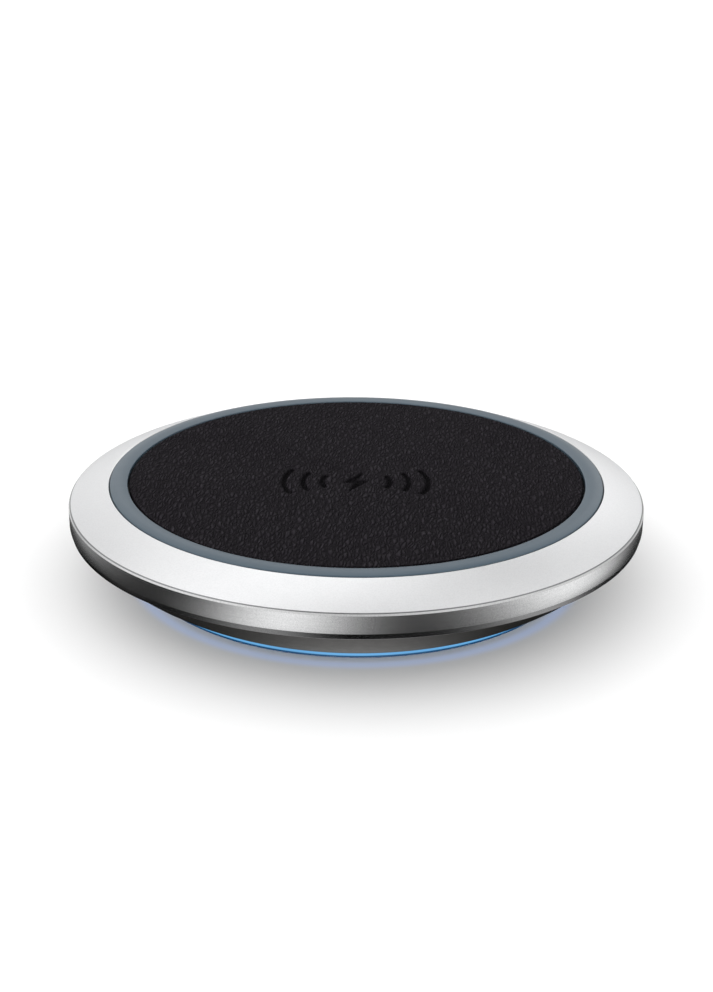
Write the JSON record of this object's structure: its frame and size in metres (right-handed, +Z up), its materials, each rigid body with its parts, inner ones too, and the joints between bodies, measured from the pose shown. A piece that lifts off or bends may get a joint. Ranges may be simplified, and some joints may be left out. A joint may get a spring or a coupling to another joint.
{
  "type": "wireless charging pad",
  "caption": "Round low wireless charging pad: leather-faced top, rubber grip ring, sloping aluminium bezel, conical dark base with a lit edge and a rear charging port.",
  "frame": {"origin": "centre of the foot ring's underside, on the surface that the pad stands on", "axes": "+Z up through the centre of the pad, +Y towards the rear charging port, -Y towards the front"},
  "size_m": [0.1, 0.1, 0.0169],
  "materials": {
    "leather_black": "fine pebble grain, semi-matt",
    "adhesive_film": "thin double-sided film",
    "rubber_grey": "smooth blue-grey silicone rubber",
    "bezel_aluminium": "bead-blasted slope, polished edge band",
    "housing_black": "moulded, fine texture",
    "copper_winding": "enamelled copper",
    "ferrite_grey": "sintered, matt",
    "spreader_aluminium": "plain rolled sheet",
    "bead_black": "epoxy bead",
    "pad_silicone": "soft thermal pad",
    "board_green": "solder mask",
    "chip_black": "moulded epoxy",
    "capacitor_tan": "fired ceramic",
    "inductor_grey": "pressed iron powder",
    "steel_shell": "drawn stainless steel",
    "tongue_black": "glass-filled nylon",
    "contact_gold": "gold flash",
    "strip_white": "white flexible circuit",
    "led_lens": "clear epoxy lamp",
    "wire_insulation": "PVC insulation",
    "light_blue": "clear light guide, lit blue",
    "dish_gunmetal": "dark satin metallic coat",
    "base_black": "moulded, fine texture",
    "foot_rubber": "smooth non-slip rubber",
    "screw_steel": "black-nickel plated steel"
  },
  "bodies": {
    "root": {"leather_pad": "leather_black", "leather_adhesive": "adhesive_film", "grip_ring": "rubber_grey", "bezel_ring": "bezel_aluminium", "bezel_adhesive": "adhesive_film", "upper_housing": "housing_black", "coil_adhesive": "adhesive_film", "transmitter_coil": "copper_winding", "coil_leads": "copper_winding", "ferrite_shield": "ferrite_grey", "heat_spreader": "spreader_aluminium", "thermistor": "bead_black", "thermal_pad": "pad_silicone", "circuit_board": "board_green", "controller_chip": "chip_black", "power_transistors": "chip_black", "resonant_capacitors": "capacitor_tan", "filter_inductor": "inductor_grey", "small_passives": "capacitor_tan", "usb_shell": "steel_shell", "usb_tongue": "tongue_black", "usb_contacts": "contact_gold", "led_strip": "strip_white", "status_leds": "led_lens", "led_wires": "wire_insulation", "light_guide": "light_blue", "lower_shell": "dish_gunmetal", "base_plate": "base_black", "foot_ring": "foot_rubber", "case_screws": "screw_steel", "board_screws": "screw_steel"}
  },
  "joints": []
}
